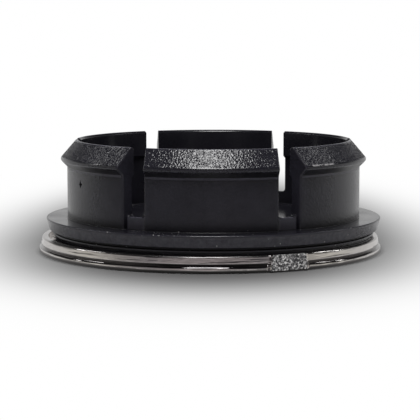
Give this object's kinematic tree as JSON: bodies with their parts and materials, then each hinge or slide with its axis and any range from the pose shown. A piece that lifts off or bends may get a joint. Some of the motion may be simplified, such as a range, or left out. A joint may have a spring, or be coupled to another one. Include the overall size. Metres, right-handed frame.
{
  "type": "wheel centre cap",
  "caption": "Snap-in centre cap for an alloy wheel: a ring of barbed spring clips on a black flange, closed by a round plated face.",
  "frame": {"origin": "on the plated face's axis, in the plane that the face stands on", "axes": "+Z along the axis, from the face towards the clips' tops; -Y is the front of the picture's view"},
  "size_m": [0.065, 0.065, 0.0211],
  "materials": {
    "black_plastic": "moulded, satin, grained on the clips' bevels",
    "plated_plastic": "bright plating on plastic, bare where the gate broke"
  },
  "bodies": {
    "root": {"clip_body": "black_plastic", "chrome_face": "plated_plastic"}
  },
  "joints": []
}
